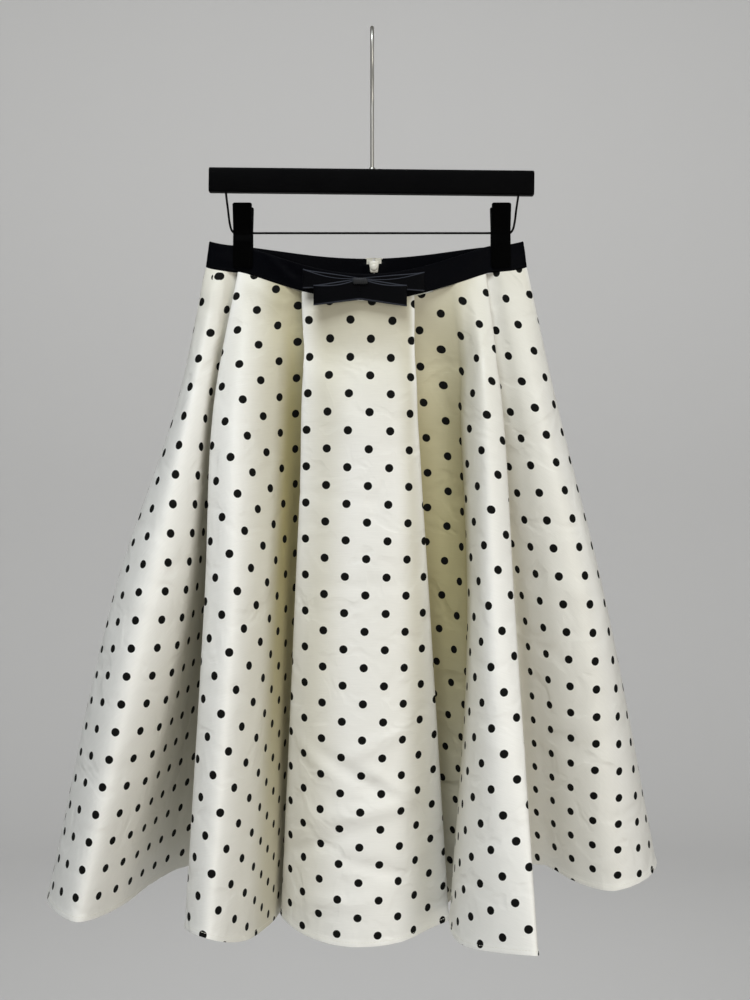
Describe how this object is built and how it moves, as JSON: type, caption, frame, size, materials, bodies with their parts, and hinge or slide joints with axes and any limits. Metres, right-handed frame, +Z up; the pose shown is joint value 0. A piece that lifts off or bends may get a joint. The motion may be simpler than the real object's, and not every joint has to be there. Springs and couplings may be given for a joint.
{
  "type": "a-line skirt on a clip hanger",
  "caption": "Knee-length flared skirt of dotted satin with pleats, a black waistband and bow, hanging by its band from a clip hanger.",
  "frame": {"origin": "inner top of the hanger's hook, the point a rail carries", "axes": "+Z up, -Y the front of the skirt, +X to the right of someone facing the front"},
  "size_m": [0.6548, 0.296, 0.9579],
  "materials": {
    "satin": "ivory satin with black dots",
    "band": "black satin",
    "ribbon": "black satin ribbon",
    "zip_tape": "cream woven tape",
    "zip_moulding": "cream enamel",
    "hanger_black": "matt black lacquer",
    "wire_black": "black coating",
    "clip_black": "black",
    "hook_steel": "satin nickel"
  },
  "bodies": {
    "skirt": {"skirt_front": "satin", "skirt_back_right": "satin", "skirt_back_left": "satin", "waistband_front": "band", "waistband_back_right": "band", "waistband_back_left": "band", "zip_tape_left": "zip_tape", "zip_tape_right": "zip_tape", "zip_chain": "zip_tape", "zip_slider": "zip_moulding", "bow_rear_loop_left": "ribbon", "bow_rear_loop_right": "ribbon", "bow_front_loop_left": "ribbon", "bow_front_loop_right": "ribbon", "bow_knot": "ribbon", "hanger_hook": "hook_steel", "hanger_bar": "hanger_black", "hanger_wire": "wire_black", "clip_left_front_jaw": "clip_black", "clip_left_back_jaw": "clip_black", "clip_left_spring": "hook_steel", "clip_right_front_jaw": "clip_black", "clip_right_back_jaw": "clip_black", "clip_right_spring": "hook_steel"},
    "zip_pull": {"zip_pull": "zip_moulding"}
  },
  "joints": [
    {"name": "zip_pull_hinge", "type": "hinge", "parent": "skirt", "child": "zip_pull", "pos_m": [0.002, 0.0224, -0.2435], "axis": [1, 0, 0], "range_deg": [0, 165]}
  ]
}
